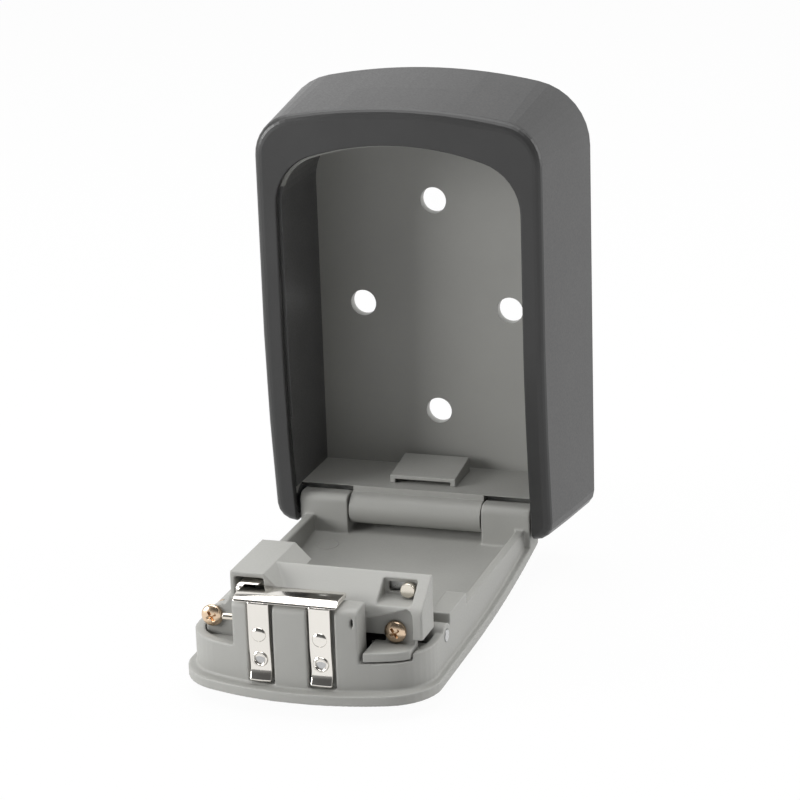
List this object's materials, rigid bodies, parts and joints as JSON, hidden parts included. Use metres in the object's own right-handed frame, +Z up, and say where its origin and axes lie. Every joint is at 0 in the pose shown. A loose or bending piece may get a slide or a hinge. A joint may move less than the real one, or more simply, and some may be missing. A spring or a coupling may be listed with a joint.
{
  "type": "combination key safe",
  "caption": "Wall-mounted key safe with number dials, its hinged door swung down to show the key space and latch",
  "frame": {"origin": "centre of the four wall holes on the back face", "axes": "+X right and +Z up as seen from the front, +Y into the wall"},
  "size_m": [0.084, 0.1232, 0.1305],
  "materials": {
    "black_coat": "satin black powder coat",
    "zinc_dark": "grey painted zinc casting",
    "zinc_light": "light grey painted zinc casting",
    "chrome": "bright chrome plate",
    "nickel": "bright nickel plate",
    "brass": "bright yellow passivated brass",
    "steel": "plain bright steel",
    "black_plastic": "moulded black plastic"
  },
  "bodies": {
    "housing": {"outer_cover": "black_coat", "inner_case": "zinc_dark", "hinge_pin": "steel", "floor_clip": "zinc_dark"},
    "door": {"door_shell": "zinc_light", "lock_cover": "zinc_light", "cover_screws": "brass", "dial_axle": "steel", "axle_spring": "steel", "detent_spring": "steel", "latch_spring": "steel", "guide_pin": "nickel"},
    "latch": {"latch_plate": "chrome", "latch_rivets": "chrome", "open_lever": "black_plastic"},
    "reset": {"reset_knob": "nickel", "reset_plate": "steel"},
    "shutter": {"dial_shutter": "black_plastic"},
    "dial_1": {"dial_1": "black_plastic", "code_sleeve_1": "brass"},
    "dial_2": {"dial_2": "black_plastic", "code_sleeve_2": "brass"},
    "dial_3": {"dial_3": "black_plastic", "code_sleeve_3": "brass"},
    "dial_4": {"dial_4": "black_plastic", "code_sleeve_4": "brass"}
  },
  "joints": [
    {"name": "door_hinge", "type": "hinge", "parent": "housing", "child": "door", "pos_m": [0, -0.0235, -0.0503], "axis": [1, 0, 0], "range_deg": [-90, 0]},
    {"name": "latch_slide", "type": "slide", "parent": "door", "child": "latch", "axis": [0, -1, 0], "range_m": [0, 0.0016], "deforming": ["latch_spring"]},
    {"name": "reset_slide", "type": "slide", "parent": "door", "child": "reset", "axis": [-1, 0, 0], "range_m": [0, 0.004]},
    {"name": "shutter_slide", "type": "slide", "parent": "door", "child": "shutter", "axis": [0, 1, 0], "range_m": [0, 0.026]},
    {"name": "dial_1_spin", "type": "hinge", "parent": "door", "child": "dial_1", "pos_m": [0, -0.0975, -0.0534], "axis": [1, 0, 0], "continuous": true},
    {"name": "dial_2_spin", "type": "hinge", "parent": "door", "child": "dial_2", "pos_m": [0, -0.0975, -0.0534], "axis": [1, 0, 0], "continuous": true},
    {"name": "dial_3_spin", "type": "hinge", "parent": "door", "child": "dial_3", "pos_m": [0, -0.0975, -0.0534], "axis": [1, 0, 0], "continuous": true},
    {"name": "dial_4_spin", "type": "hinge", "parent": "door", "child": "dial_4", "pos_m": [0, -0.0975, -0.0534], "axis": [1, 0, 0], "continuous": true}
  ]
}
